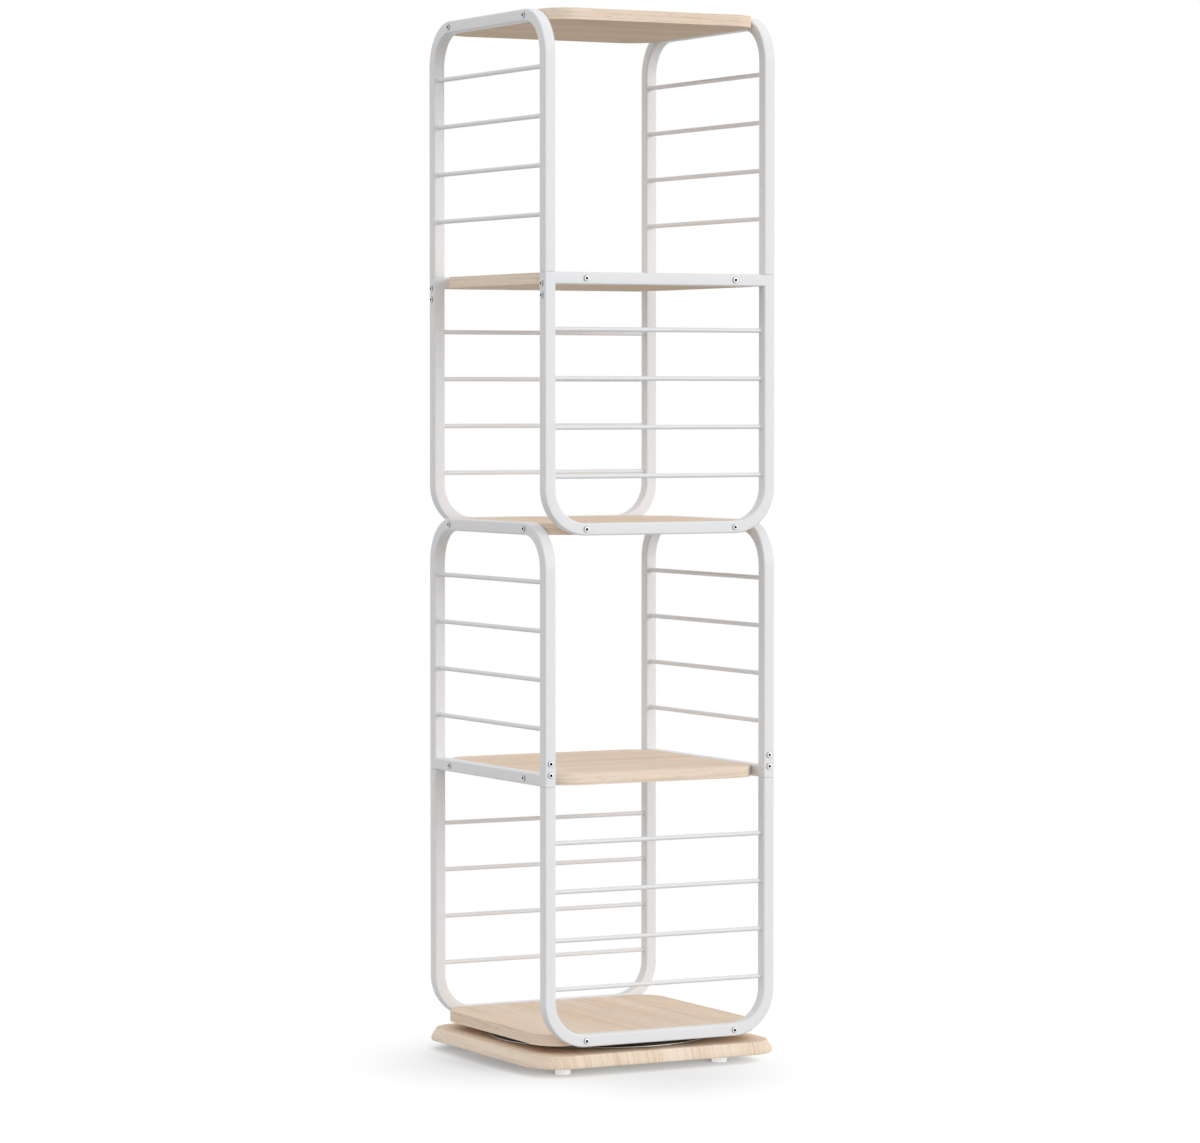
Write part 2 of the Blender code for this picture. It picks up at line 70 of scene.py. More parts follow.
camera_data = bpy.data.cameras.new("camera")
camera_data.sensor_width = SENSOR_WIDTH
camera_data.lens = LENS
camera = bpy.data.objects.new("camera", camera_data)
camera.location = CAMERA_PLACE
camera.rotation_euler = (math.pi / 2 - CAMERA_DIP, 0, CAMERA_TURN)
bpy.context.scene.collection.objects.link(camera)
bpy.context.scene.camera = camera
bpy.context.scene.view_settings.view_transform = "Standard"


# Feet: four round pads moulded in white plastic, with an eased lower rim and the small dimple of the
# mould's gate underneath. The stem of each is knocked into a hole in the base plate.
MM = 0.001
FOOT_STEM_RADIUS = 2.5 * MM
FOOT_EASE = 0.9 * MM
FOOT_EASE_STEPS = 4
FOOT_WHITE = (0.91, 0.94, 0.97)
FOOT_ROUGHNESS = 0.42
GATE_RADIUS = 1.6 * MM
GATE_DEPTH = 0.4 * MM
SEAT_GAP = 0.2 * MM
ROUND_STEPS = 48
MERGE_WITHIN = 0.005 * MM
SMOOTH_ANGLE = math.radians(32)
SHARP_ANGLE = math.radians(40)


def feed(tree, socket, value):
    """Gives an input its own value, or another node's output."""
    if isinstance(value, bpy.types.NodeSocket):
        tree.links.new(value, socket)
    else:
        socket.default_value = value


def tree_node(tree, kind, settings=None, values=None):
    """A shader node with its settings and with what its inputs are given."""
    new_node = tree.nodes.new(kind)
    for key, value in (settings or {}).items():
        setattr(new_node, key, value)
    for key, value in (values or {}).items():
        feed(tree, new_node.inputs[key], value)
    return new_node


def new_surface(name):
    """A new material, its node tree and its shader."""
    material = bpy.data.materials.new(name)
    material.use_nodes = True
    return material, material.node_tree, material.node_tree.nodes["Principled BSDF"]


def object_noise(tree, scale, detail, roughness=0.5):
    """Noise with so many cells a metre of the piece."""
    place = tree_node(tree, "ShaderNodeTexCoord").outputs["Object"]
    values = {"Vector": place, "Scale": scale, "Detail": detail, "Roughness": roughness}
    return tree_node(tree, "ShaderNodeTexNoise", values=values).outputs["Fac"]


def clouded(tree, shader, colour, darkest, pattern):
    """Lets the colour follow a pattern, from a darkest share of itself up to itself."""
    tint = tree_node(tree, "ShaderNodeMix", {"data_type": "RGBA"})
    feed(tree, tint.inputs["A"], (*[part * darkest for part in colour], 1))
    feed(tree, tint.inputs["B"], (*colour, 1))
    feed(tree, tint.inputs["Factor"], pattern)
    feed(tree, shader.inputs["Base Color"], tint.outputs["Result"])


def embossed(tree, shader, pattern, strength, depth, invert=False):
    """Raises a pattern a little from the surface, or presses it in."""
    values = {"Height": pattern, "Strength": strength, "Distance": depth}
    bump = tree_node(tree, "ShaderNodeBump", {"invert": invert}, values)
    feed(tree, shader.inputs["Normal"], bump.outputs["Normal"])


def moulded_plastic(name, colour):
    """White plastic with the fine matt texture of its mould."""
    material, tree, shader = new_surface(name)
    feed(tree, shader.inputs["Roughness"], FOOT_ROUGHNESS)
    clouded(tree, shader, colour, darkest=0.97, pattern=object_noise(tree, scale=160, detail=2))
    texture = object_noise(tree, scale=1400, detail=3)
    embossed(tree, shader, texture, strength=0.3, depth=0.04 * MM)
    return material


def turned(outline, steps, closed=False):
    """Spins an outline of (radius, height) points about the vertical line through the origin."""
    bm = bmesh.new()
    points = [bm.verts.new((radius, 0, height)) for radius, height in outline]
    lines = [bm.edges.new(pair) for pair in zip(points, points[1:])]
    if closed:
        lines.append(bm.edges.new((points[-1], points[0])))
    bmesh.ops.spin(
        bm,
        geom=points + lines,
        cent=(0, 0, 0),
        axis=(0, 0, 1),
        angle=2 * math.pi,
        steps=steps,
        use_merge=True,
    )
    bmesh.ops.remove_doubles(bm, verts=bm.verts, dist=MERGE_WITHIN)
    bmesh.ops.recalc_face_normals(bm, faces=bm.faces)
    return bm


def ease_edges(bm, edges, radius, steps):
    """Rounds some edges over by a small radius."""
    bmesh.ops.bevel(
        bm,
        geom=edges,
        offset=radius,
        offset_type="OFFSET",
        segments=steps,
        profile=0.5,
        affect="EDGES",
        clamp_overlap=True,
        material=-1,
    )


def sharp_edges(bm):
    """The edges where two faces meet at a plain corner."""
    return [edge for edge in bm.edges if edge.calc_face_angle(0) > SHARP_ANGLE]


def finished(name, bm, body, slot, materials, *nodes):
    """Turns the mesh into a piece that rides on its body and stands for its CAD nodes."""
    mesh = bpy.data.meshes.new(name)
    bm.to_mesh(mesh)
    bm.free()
    mesh.shade_smooth()
    mesh.set_sharp_from_angle(angle=SMOOTH_ANGLE)
    for material in materials:
        mesh.materials.append(material)
    piece = bpy.data.objects.new(name, mesh)
    bpy.context.scene.collection.objects.link(piece)
    even = piece.modifiers.new("even_shading", "WEIGHTED_NORMAL")
    even.keep_sharp = True
    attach(piece, body)
    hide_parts(*nodes)
    return piece


base_low, base_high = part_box("base_plate")
foot_white = moulded_plastic("foot_white_plastic", FOOT_WHITE)
for place in ("front_left", "front_right", "back_left", "back_right"):
    low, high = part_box("foot_" + place)
    radius = (high.x - low.x) / 2
    pad_top = base_low.z - SEAT_GAP
    bm = turned(
        (
            (0, GATE_DEPTH),
            (GATE_RADIUS, GATE_DEPTH),
            (GATE_RADIUS, 0),
            (radius, 0),
            (radius, pad_top),
            (FOOT_STEM_RADIUS, pad_top),
            (FOOT_STEM_RADIUS, high.z),
            (0, high.z),
        ),
        ROUND_STEPS,
    )
    rim = [
        edge
        for edge in sharp_edges(bm)
        if min(math.hypot(*vert.co.xy) for vert in edge.verts) > (radius + FOOT_STEM_RADIUS) / 2
    ]
    ease_edges(bm, rim, FOOT_EASE, FOOT_EASE_STEPS)
    bmesh.ops.translate(bm, vec=((low.x + high.x) / 2, (low.y + high.y) / 2, 0), verts=bm.verts)
    finished("pad_" + place, bm, "base", "white_plastic", [foot_white], "foot_" + place)


# Base plate: 16 mm board under an oak-print film, pressed over the top and down the sloped edge in one
# sheet. Its grain runs from front to back and so breaks over the front edge in short lines.
BASE_CORNER = 48 * MM
BASE_STRAIGHT_EDGE = 4.5 * MM
BASE_SLOPE_WIDTH = 7 * MM
BASE_SLOPE_HALF_TURN = math.radians(3)
BASE_SLOPE_STEPS = 4
BASE_SLOPE_FOOT_EASE = 2.5 * MM
BASE_LOWER_EASE = 1.2 * MM
BASE_LOWER_EASE_STEPS = 3
BASE_TOP_EASE = 0.4 * MM
CORNER_STEPS = 14
SAME_LEVEL = 0.01 * MM
UNDERSIDE_NORMAL = -0.9
OAK_LIGHT = (0.965, 0.842, 0.708)
OAK_MIDDLE = (0.870, 0.700, 0.542)
OAK_DARK = (0.620, 0.425, 0.285)
OAK_LINE = (0.520, 0.400, 0.300)
OAK_PORE = (0.360, 0.220, 0.135)
OAK_SHINE = 0.06
OAK_ROUGHNESS = (0.66, 0.76)
OAK_SWAY = 11 * MM
OAK_SHIFTS = (3.7, 1.9, 7.3)
GROWTH_SHARE = 0.40
LINE_HALF_WIDTH = 0.05
LINE_SHARES = (0.10, 0.52)
FIBRE_SHARE = 0.55
PORE_SHARE = 0.34


def maths(tree, operation, first, second=0.0):
    """The result of a Math node."""
    values = {0: first, 1: second}
    return tree_node(tree, "ShaderNodeMath", {"operation": operation}, values).outputs["Value"]


def between(tree, source, low, high, to_low=0.0, to_high=1.0, kind="LINEAR"):
    """A value's stretch from low to high, mapped to another stretch."""
    ends = {"From Min": low, "From Max": high, "To Min": to_low, "To Max": to_high}
    settings = {"interpolation_type": kind}
    values = {"Value": source, **ends}
    return tree_node(tree, "ShaderNodeMapRange", settings, values).outputs["Result"]


def oak_print(name, seed):
    """Matt oak print. It reads the piece's grain map: x across the grain and y along it, in metres."""
    material, tree, shader = new_surface(name)
    feed(tree, shader.inputs["Specular IOR Level"], OAK_SHINE)

    def noise(source, across, along, detail, roughness=0.5):
        """Noise with so many cells a metre across and along the grain, in its own place for each board."""
        mapping = tree_node(
            tree,
            "ShaderNodeMapping",
            values={
                "Vector": source,
                "Scale": (across, along, 1),
                "Location": [seed * shift for shift in OAK_SHIFTS],
            },
        )
        values = {"Vector": mapping.outputs["Vector"], "Scale": 1, "Detail": detail, "Roughness": roughness}
        return tree_node(tree, "ShaderNodeTexNoise", values=values).outputs["Fac"]

    def over(under, colour, amount):
        """A colour laid over another by an amount."""
        mix = tree_node(tree, "ShaderNodeMix", {"data_type": "RGBA"})
        feed(tree, mix.inputs["A"], under)
        feed(tree, mix.inputs["B"], (*colour, 1))
        feed(tree, mix.inputs["Factor"], amount)
        return mix.outputs["Result"]

    # The growth lines wander to and fro across the board, so their map is bent first.
    grain = tree_node(tree, "ShaderNodeUVMap", {"uv_map": "grain"}).outputs["UV"]
    sway = between(tree, noise(grain, across=7, along=2.6, detail=1), 0, 1, -OAK_SWAY, OAK_SWAY)
    aside = tree_node(tree, "ShaderNodeCombineXYZ", values={"X": sway}).outputs["Vector"]
    bent_map = tree_node(tree, "ShaderNodeVectorMath", {"operation": "ADD"}, {0: grain, 1: aside})
    wood = bent_map.outputs["Vector"]

    # Broad pale and darker strips, with the growth lines over them.
    strips = between(tree, noise(wood, across=30, along=1.4, detail=2), 0.3, 0.7)
    growth = between(tree, noise(wood, across=520, along=4, detail=4, roughness=0.65), 0.48, 0.68)
    colour = over((*OAK_LIGHT, 1), OAK_MIDDLE, strips)
    colour = over(colour, OAK_DARK, maths(tree, "MULTIPLY", growth, GROWTH_SHARE))

    # Thin long lines, where a noise passes its middle. They are stronger in some strips than in others.
    off_middle = maths(tree, "SUBTRACT", noise(wood, across=210, along=2.2, detail=2), 0.5)
    crest = between(tree, maths(tree, "ABSOLUTE", off_middle), 0, LINE_HALF_WIDTH, 1.0, 0.0)
    strength = between(tree, noise(wood, across=34, along=1.1, detail=1), 0.36, 0.62, *LINE_SHARES)
    colour = over(colour, OAK_LINE, maths(tree, "MULTIPLY", crest, strength))

    # Fibres soften what lies under them, and short open pores are pressed in with them.
    fibre = between(tree, noise(wood, across=1100, along=14, detail=3, roughness=0.65), 0.38, 0.66)
    pores = between(tree, noise(wood, across=1300, along=45, detail=2), 0.60, 0.72)
    colour = over(colour, OAK_MIDDLE, maths(tree, "MULTIPLY", fibre, FIBRE_SHARE))
    colour = over(colour, OAK_PORE, maths(tree, "MULTIPLY", pores, PORE_SHARE))
    feed(tree, shader.inputs["Base Color"], colour)
    feed(tree, shader.inputs["Roughness"], between(tree, growth, 0, 1, *OAK_ROUGHNESS))
    relief = maths(tree, "ADD", fibre, pores)
    embossed(tree, shader, relief, strength=0.35, depth=0.03 * MM, invert=True)
    return material


def rounded_sheet(half_x, half_y, corner, level):
    """A flat face with round corners at a level, facing up."""
    bm = bmesh.new()
    bmesh.ops.create_grid(bm, x_segments=1, y_segments=1, size=1)
    bmesh.ops.scale(bm, vec=(half_x, half_y, 1), verts=bm.verts)
    bmesh.ops.bevel(
        bm,
        geom=list(bm.verts),
        offset=corner,
        offset_type="OFFSET",
        segments=CORNER_STEPS,
        profile=0.5,
        affect="VERTICES",
        material=-1,
    )
    bmesh.ops.translate(bm, vec=(0, 0, level), verts=bm.verts)
    return bm


def pulled(bm, faces, step):
    """Extrudes a group of faces by a step and returns the faces at its new end."""
    edges = {edge for face in faces for edge in face.edges}
    verts = {vert for face in faces for vert in face.verts}
    made = bmesh.ops.extrude_face_region(bm, geom=list(faces) + list(edges) + list(verts))["geom"]
    bmesh.ops.translate(bm, vec=step, verts=[part for part in made if isinstance(part, bmesh.types.BMVert)])
    return [part for part in made if isinstance(part, bmesh.types.BMFace)]


base_half = base_high.x
bm = rounded_sheet(
    base_half - BASE_LOWER_EASE, base_half - BASE_LOWER_EASE, BASE_CORNER - BASE_LOWER_EASE, base_low.z
)
end = pulled(bm, list(bm.faces), (0, 0, 0))
for step in range(1, BASE_LOWER_EASE_STEPS + 1):
    before = math.pi / 2 * (step - 1) / BASE_LOWER_EASE_STEPS
    after = math.pi / 2 * step / BASE_LOWER_EASE_STEPS
    bmesh.ops.inset_region(
        bm,
        faces=end,
        thickness=BASE_LOWER_EASE * (math.sin(before) - math.sin(after)),
        depth=BASE_LOWER_EASE * (math.cos(before) - math.cos(after)),
        use_even_offset=True,
    )
end = pulled(bm, end, (0, 0, BASE_STRAIGHT_EDGE - BASE_LOWER_EASE))

# The slope is nearly straight: it turns by only a few degrees from its foot to the top.
slope_rise = base_high.z - base_low.z - BASE_STRAIGHT_EDGE
lean = math.atan2(BASE_SLOPE_WIDTH, slope_rise)
arc_radius = math.hypot(BASE_SLOPE_WIDTH, slope_rise) / 2 / math.sin(BASE_SLOPE_HALF_TURN)
for step in range(BASE_SLOPE_STEPS):
    tilt = lean + BASE_SLOPE_HALF_TURN * (2 * (step + 0.5) / BASE_SLOPE_STEPS - 1)
    chord = 2 * arc_radius * math.sin(BASE_SLOPE_HALF_TURN / BASE_SLOPE_STEPS)
    bmesh.ops.inset_region(
        bm,
        faces=end,
        thickness=chord * math.sin(tilt),
        depth=chord * math.cos(tilt),
        use_even_offset=True,
    )
bmesh.ops.remove_doubles(bm, verts=bm.verts, dist=MERGE_WITHIN)
bmesh.ops.recalc_face_normals(bm, faces=bm.faces)
for level, ease, steps in (
    (base_high.z, BASE_TOP_EASE, 2),
    (base_low.z + BASE_STRAIGHT_EDGE, BASE_SLOPE_FOOT_EASE, 4),
):
    rim = [edge for edge in bm.edges if all(abs(vert.co.z - level) < SAME_LEVEL for vert in edge.verts)]
    ease_edges(bm, rim, ease, steps)

# The film is stretched over the edge: the further down the slope, the further out on its flat sheet.
grain = bm.loops.layers.uv.new("grain")
core = base_half - BASE_CORNER
top_corner = BASE_CORNER - BASE_SLOPE_WIDTH
for face in bm.faces:
    for loop in face.loops:
        point = loop.vert.co
        nearest = Vector((max(-core, min(core, point.x)), max(-core, min(core, point.y))))
        outward = point.xy - nearest
        run = outward.length - top_corner
        if run > 0 and face.normal.z > UNDERSIDE_NORMAL:
            reach = top_corner + math.hypot(run, base_high.z - point.z)
            loop[grain].uv = nearest + outward.normalized() * reach
        else:
            loop[grain].uv = point.xy
finished("base_board", bm, "base", "oak_board", [oak_print("oak_base", seed=1.3)], "base_plate")


# Turntable bearing: two steel rings with a row of balls between them, in the narrow gap between
# the base plate and the tower. Their steel is painted nearly black, as painted shade of that gap. The lower
# ring is screwed to the plate by its rolled foot, whose rim is a lighter steel as a painted highlight,
# and the upper one carries the tower.
RING_WIDTH = 20 * MM
LOWER_RING_HEIGHT = 4.2 * MM
RING_FOOT_LINE = 0.4 * MM
RING_RIM_HEIGHT = 1.1 * MM
RING_RIM_DEPTH = 0.8 * MM
RING_RIM_LEAN = 0.25 * MM
RING_RIM_CHAMFER = 0.1 * MM
RING_GROOVE_AT = 1.2
RING_EASE = 0.12 * MM
RING_EASE_STEPS = 4
RIM_REACH = 0.1 * MM
RIM_SHARE = 0.9
BALL_RADIUS = 2.4 * MM
BALL_PLAY = 0.1 * MM
BALL_COUNT = 72
RING_STEPS = 144
TRACK_STEPS = 8
RING_PAINTED_SHADE = (0.040, 0.034, 0.028)
RIM_PAINTED_HIGHLIGHT = (0.60, 0.56, 0.51)
BALL_BRIGHT = (0.78, 0.78, 0.78)


def length_of(tree, vector):
    """How far a point is from the origin."""
    node = tree_node(tree, "ShaderNodeVectorMath", {"operation": "LENGTH"}, {0: vector})
    return node.outputs["Value"]


def brushed_steel(name, colour, roughness):
    """Steel with fine lines turned round the upright axis."""
    material, tree, shader = new_surface(name)
    feed(tree, shader.inputs["Metallic"], 1)
    place = tree_node(tree, "ShaderNodeTexCoord").outputs["Object"]
    split = tree_node(tree, "ShaderNodeSeparateXYZ", values={"Vector": place}).outputs
    flat = tree_node(tree, "ShaderNodeCombineXYZ", values={"X": split["X"], "Y": split["Y"]})
    across = length_of(tree, flat.outputs["Vector"])
    lines = tree_node(tree, "ShaderNodeCombineXYZ", values={"X": across}).outputs["Vector"]
    values = {"Vector": lines, "Scale": 2600, "Detail": 3}
    turning = tree_node(tree, "ShaderNodeTexNoise", values=values).outputs["Fac"]
    clouded(tree, shader, colour, darkest=0.85, pattern=turning)
    gloss = between(tree, turning, 0, 1, roughness * 0.8, roughness * 1.2)
    feed(tree, shader.inputs["Roughness"], gloss)
    embossed(tree, shader, turning, strength=0.3, depth=0.02 * MM)
    return material


def track_points(centre_radius, level, start, end):
    """Points of the ball track's round groove, from one angle to another."""
    radius = BALL_RADIUS + BALL_PLAY
    turns = [start + (end - start) * step / TRACK_STEPS for step in range(TRACK_STEPS + 1)]
    return [
        (centre_radius + radius * math.cos(turn), level + radius * math.sin(turn)) for turn in turns
    ]


def rolled_side(radius, bottom, top):
    """The outer side of the lower ring: a shadow line at its foot, a rim, a groove and the upper rim."""
    groove = radius - RING_RIM_DEPTH
    rim_foot = bottom + RING_FOOT_LINE
    return [
        (groove, bottom),
        (groove, rim_foot),
        (radius, rim_foot + RING_RIM_CHAMFER),
        (radius - RING_RIM_LEAN, rim_foot + RING_RIM_HEIGHT),
        (groove, rim_foot + RING_RIM_HEIGHT * RING_GROOVE_AT),
        (groove, top - RING_RIM_HEIGHT * RING_GROOVE_AT),
        (radius, top - RING_RIM_HEIGHT),
        (radius - RING_RIM_LEAN, top),
    ]


def paint_foot_highlight(bm, radius, level):
    """Gives the rolled rim below a level, the flange on the plate, its second material: a lighter steel, a
    painted highlight.
    """
    for face in bm.faces:
        reach = min(math.hypot(*vert.co.xy) for vert in face.verts)
        if reach > radius - RING_RIM_DEPTH * RIM_SHARE and face.calc_center_median().z < level:
            face.material_index = 1


def ease_rims(bm, inner, outer):
    """Rounds the rims on the outer and inner side of a ring, but not those of its track."""
    rims = []
    for edge in sharp_edges(bm):
        reach = [math.hypot(*vert.co.xy) for vert in edge.verts]
        if min(reach) > outer - RIM_REACH or max(reach) < inner + RIM_REACH:
            rims.append(edge)
    ease_edges(bm, rims, RING_EASE, RING_EASE_STEPS)


# The rings' steel is painted nearly black, as the shade of the gap between the plate and the tower.
ring_painted_shade = brushed_steel("bearing_ring_painted_shade", RING_PAINTED_SHADE, roughness=0.45)
# The rolled foot's rim gets a lighter copy of the steel: a painted highlight.
rim_painted_highlight = brushed_steel("bearing_rim_painted_highlight", RIM_PAINTED_HIGHLIGHT, roughness=0.46)
lower_low, lower_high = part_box("turntable_lower_ring")
ring_inner = lower_high.x - RING_WIDTH
ball_row = lower_high.x - RING_WIDTH / 2
ball_level = lower_low.z + LOWER_RING_HEIGHT
bm = turned(
    [(ring_inner, lower_low.z)] + rolled_side(lower_high.x, lower_low.z, ball_level)
    + track_points(ball_row, ball_level, 0, -math.pi)
    + [(ring_inner, ball_level)],
    RING_STEPS,
    closed=True,
)
ease_rims(bm, ring_inner, lower_high.x)
paint_foot_highlight(bm, lower_high.x, (lower_low.z + ball_level) / 2)
finished("bearing_lower_ring", bm, "base", "bearing_metal", [ring_painted_shade, rim_painted_highlight], "turntable_lower_ring")

upper_low, upper_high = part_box("turntable_upper_ring")
cut = math.asin((upper_low.z - ball_level) / (BALL_RADIUS + BALL_PLAY))
bm = turned(
    [(ring_inner, upper_high.z), (ring_inner, upper_low.z)]
    + track_points(ball_row, ball_level, math.pi - cut, cut)
    + [(upper_high.x, upper_low.z), (upper_high.x, upper_high.z)],
    RING_STEPS,
    closed=True,
)
ease_rims(bm, ring_inner, upper_high.x)
finished("bearing_upper_ring", bm, "tower", "bearing_metal", [ring_painted_shade], "turntable_upper_ring")

bm = bmesh.new()
for number in range(BALL_COUNT):
    turn = 2 * math.pi * number / BALL_COUNT
    place = Matrix.Translation((ball_row * math.cos(turn), ball_row * math.sin(turn), ball_level))
    bmesh.ops.create_icosphere(bm, subdivisions=2, radius=BALL_RADIUS, matrix=place)
ball_steel = brushed_steel("bearing_ball_steel", BALL_BRIGHT, roughness=0.12)
finished("bearing_balls", bm, "base", "bearing_metal", [ball_steel], "turntable_lower_ring")


# Side frames: square steel tube, bent in two round corners, with four thin rods welded between its
# legs and a baked white powder coat. An open frame's legs end in square plugs for the next frame's
# posts, and a closed frame has a crossbar welded between its leg ends.
TUBE = 16 * MM
TUBE_WALL = 1.2 * MM
TUBE_CORNER = 2.2 * MM
TUBE_CORNER_STEPS = 3
BEND_OUTER_RADIUS = 60 * MM
BEND_STEPS = 20
LEG_END_EASE = 0.35 * MM
LEG_END_EASE_STEPS = 2
SEAM_GAP = 0.2 * MM
ROD_RADIUS = 3 * MM
ROD_COUNT = 4
FIRST_ROD_BELOW_BEND_TOP = 76.1 * MM
LAST_ROD_ABOVE_LEG_END = 73.6 * MM
ROD_STEPS = 20
WELD_RADIUS = 3.9 * MM
WELD_LENGTH = 1.6 * MM
WELD_FILLET_STEPS = 4
WELD_DEPTH = 3 * MM
WELD_STEP = 0.05 * MM
ROD_END_DEPTH = 0.2 * MM
PLUG_HALF = 6.5 * MM
PLUG_LENGTH = 42 * MM
PLUG_ROOT = 12 * MM
FRAME_WHITE = (0.848, 0.854, 0.868)
FRAME_ROUGHNESS = (0.36, 0.50)


def powder_coat(name, colour):
    """Baked white powder: satin, with a fine peel and a slight drift in its thickness."""
    material, tree, shader = new_surface(name)
    clouded(tree, shader, colour, darkest=0.97, pattern=object_noise(tree, scale=22, detail=3))
    specks = object_noise(tree, scale=2100, detail=1)
    feed(tree, shader.inputs["Roughness"], between(tree, specks, 0, 1, *FRAME_ROUGHNESS))
    peel = object_noise(tree, scale=620, detail=2, roughness=0.45)
    embossed(tree, shader, peel, strength=0.25, depth=0.05 * MM)
    return material


def square_end(half, corner, wall):
    """The end face of a square tube, flat at the origin: a ring of faces, or one face without a wall."""
    bm = bmesh.new()
    bmesh.ops.create_grid(bm, x_segments=1, y_segments=1, size=half)
    bmesh.ops.bevel(
        bm,
        geom=list(bm.verts),
        offset=corner,
        offset_type="OFFSET",
        segments=TUBE_CORNER_STEPS,
        profile=0.5,
        affect="VERTICES",
        material=-1,
    )
    if wall:
        middle = next(iter(bm.faces))
        bmesh.ops.inset_region(bm, faces=[middle], thickness=wall, use_boundary=True, use_even_offset=True)
        bmesh.ops.delete(bm, geom=[middle], context="FACES_ONLY")
    return bm


def bent(bm, faces, centre_x, centre_y, centre_z):
    """Carries the tube's end a quarter turn round a bend's centre and returns its new end."""
    edges = {edge for face in faces for edge in face.edges}
    verts = {vert for face in faces for vert in face.verts}
    made = bmesh.ops.spin(
        bm,
        geom=list(faces) + list(edges) + list(verts),
        cent=(centre_x, centre_y, centre_z),
        axis=(0, 1, 0),
        angle=math.pi / 2,
        steps=BEND_STEPS,
    )["geom_last"]
    return [part for part in made if isinstance(part, bmesh.types.BMFace)]


def ease_ends(bm, level):
    """Takes the sharpness off a tube's cut ends at a level, outside and not in its bore."""
    rims = [
        edge
        for edge in sharp_edges(bm)
        if all(abs(vert.co.z - level) < SAME_LEVEL for vert in edge.verts) and edge.is_convex
    ]
    ease_edges(bm, rims, LEG_END_EASE, LEG_END_EASE_STEPS)


def weld_in(bm, part):
    """Adds another part's mesh to the frame's."""
    bmesh.ops.recalc_face_normals(part, faces=part.faces)
    mesh = bpy.data.meshes.new("part")
    part.to_mesh(mesh)
    part.free()
    bm.from_mesh(mesh)
    bpy.data.meshes.remove(mesh)


def cross_rod(half_length):
    """A thin rod along X with a small weld fillet at each end."""
    fillet = []
    for step in range(WELD_FILLET_STEPS + 1):
        turn = math.pi / 2 * step / WELD_FILLET_STEPS
        radius = ROD_RADIUS + (WELD_RADIUS - ROD_RADIUS) * (1 - math.sin(turn))
        fillet.append((radius, half_length - WELD_LENGTH * (1 - math.cos(turn))))
    inside = half_length + ROD_END_DEPTH
    outline = [(0, inside), (WELD_RADIUS, inside)] + fillet
    outline += [(radius, -height) for radius, height in reversed(outline)]
    rod = turned(outline, ROD_STEPS)
    bmesh.ops.rotate(rod, cent=(0, 0, 0), matrix=Matrix.Rotation(math.pi / 2, 3, "Y"), verts=rod.verts)
    return rod


frame_low, frame_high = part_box("frame_upper_front")
half_width = frame_high.x
frame_height = frame_high.z - frame_low.z
post = half_width - TUBE / 2
inner_face = half_width - TUBE
bend = BEND_OUTER_RADIUS - TUBE / 2
bar_level = frame_height - TUBE / 2
rod_step = (frame_height - FIRST_ROD_BELOW_BEND_TOP - LAST_ROD_ABOVE_LEG_END) / (ROD_COUNT - 1)


def side_frame(is_open):
    """A frame as it stands at the front, legs down, with its leg ends at height zero."""
    leg_end = SEAM_GAP / 2
    bm = square_end(TUBE / 2, TUBE_CORNER, TUBE_WALL)
    bmesh.ops.translate(bm, vec=(-post, -post, leg_end), verts=bm.verts)
    end = pulled(bm, list(bm.faces), (0, 0, bar_level - bend - leg_end))
    end = bent(bm, end, -post + bend, -post, bar_level - bend)
    end = pulled(bm, end, (2 * (post - bend), 0, 0))
    end = bent(bm, end, post - bend, -post, bar_level - bend)
    pulled(bm, end, (0, 0, leg_end - bar_level + bend))
    bmesh.ops.recalc_face_normals(bm, faces=bm.faces)
    ease_ends(bm, leg_end)
    for number in range(ROD_COUNT):
        rod = cross_rod(inner_face)
        level = frame_height - FIRST_ROD_BELOW_BEND_TOP - number * rod_step
        bmesh.ops.translate(rod, vec=(0, -post, level), verts=rod.verts)
        weld_in(bm, rod)
    if is_open:
        for side in (-1, 1):
            plug = square_end(PLUG_HALF, TUBE_CORNER / 2, 0)
            pulled(plug, list(plug.faces), (0, 0, PLUG_LENGTH + PLUG_ROOT))
            ease_edges(plug, sharp_edges(plug), LEG_END_EASE, LEG_END_EASE_STEPS)
            bmesh.ops.translate(plug, vec=(side * post, -post, -PLUG_LENGTH), verts=plug.verts)
            weld_in(bm, plug)
    else:
        bar = square_end(TUBE / 2 - WELD_STEP, TUBE_CORNER, TUBE_WALL)
        bmesh.ops.rotate(bar, cent=(0, 0, 0), matrix=Matrix.Rotation(math.pi / 2, 3, "Y"), verts=bar.verts)
        reach = inner_face + WELD_DEPTH
        bmesh.ops.translate(bar, vec=(-reach, -post, TUBE / 2), verts=bar.verts)
        pulled(bar, list(bar.faces), (2 * reach, 0, 0))
        weld_in(bm, bar)
    return bm


frame_white = powder_coat("frame_white_powder", FRAME_WHITE)
for place, is_open, upside_down, quarters in (
    ("top_left", True, False, -1),
    ("top_right", True, False, 1),
    ("upper_front", False, True, 2),
    ("upper_back", False, True, 0),
    ("lower_left", False, False, -1),
    ("lower_right", False, False, 1),
    ("bottom_front", True, True, 2),
    ("bottom_back", True, True, 0),
):
    low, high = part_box("frame_" + place)
    seam = low.z + frame_height if upside_down else high.z - frame_height
    bm = side_frame(is_open)
    turn = Matrix.Rotation(quarters * math.pi / 2, 3, "Z")
    if upside_down:
        turn = turn @ Matrix.Rotation(math.pi, 3, "X")
    bmesh.ops.rotate(bm, cent=(0, 0, 0), matrix=turn, verts=bm.verts)
    bmesh.ops.translate(bm, vec=(0, 0, seam), verts=bm.verts)
    finished("tubing_" + place, bm, "tower", "white_steel", [frame_white], "frame_" + place)


# Shelf boards: 15 mm board with oak-print faces, round corners, and an edge band glued round with its
# grain along the edge. Each is screwed through the bars at two opposite edges, the middle one at four.
BOARD_CORNER = 38 * MM
BOARD_EASE = 0.5 * MM
BOARD_EASE_STEPS = 3
FLAT_FACE_NORMAL = 0.95


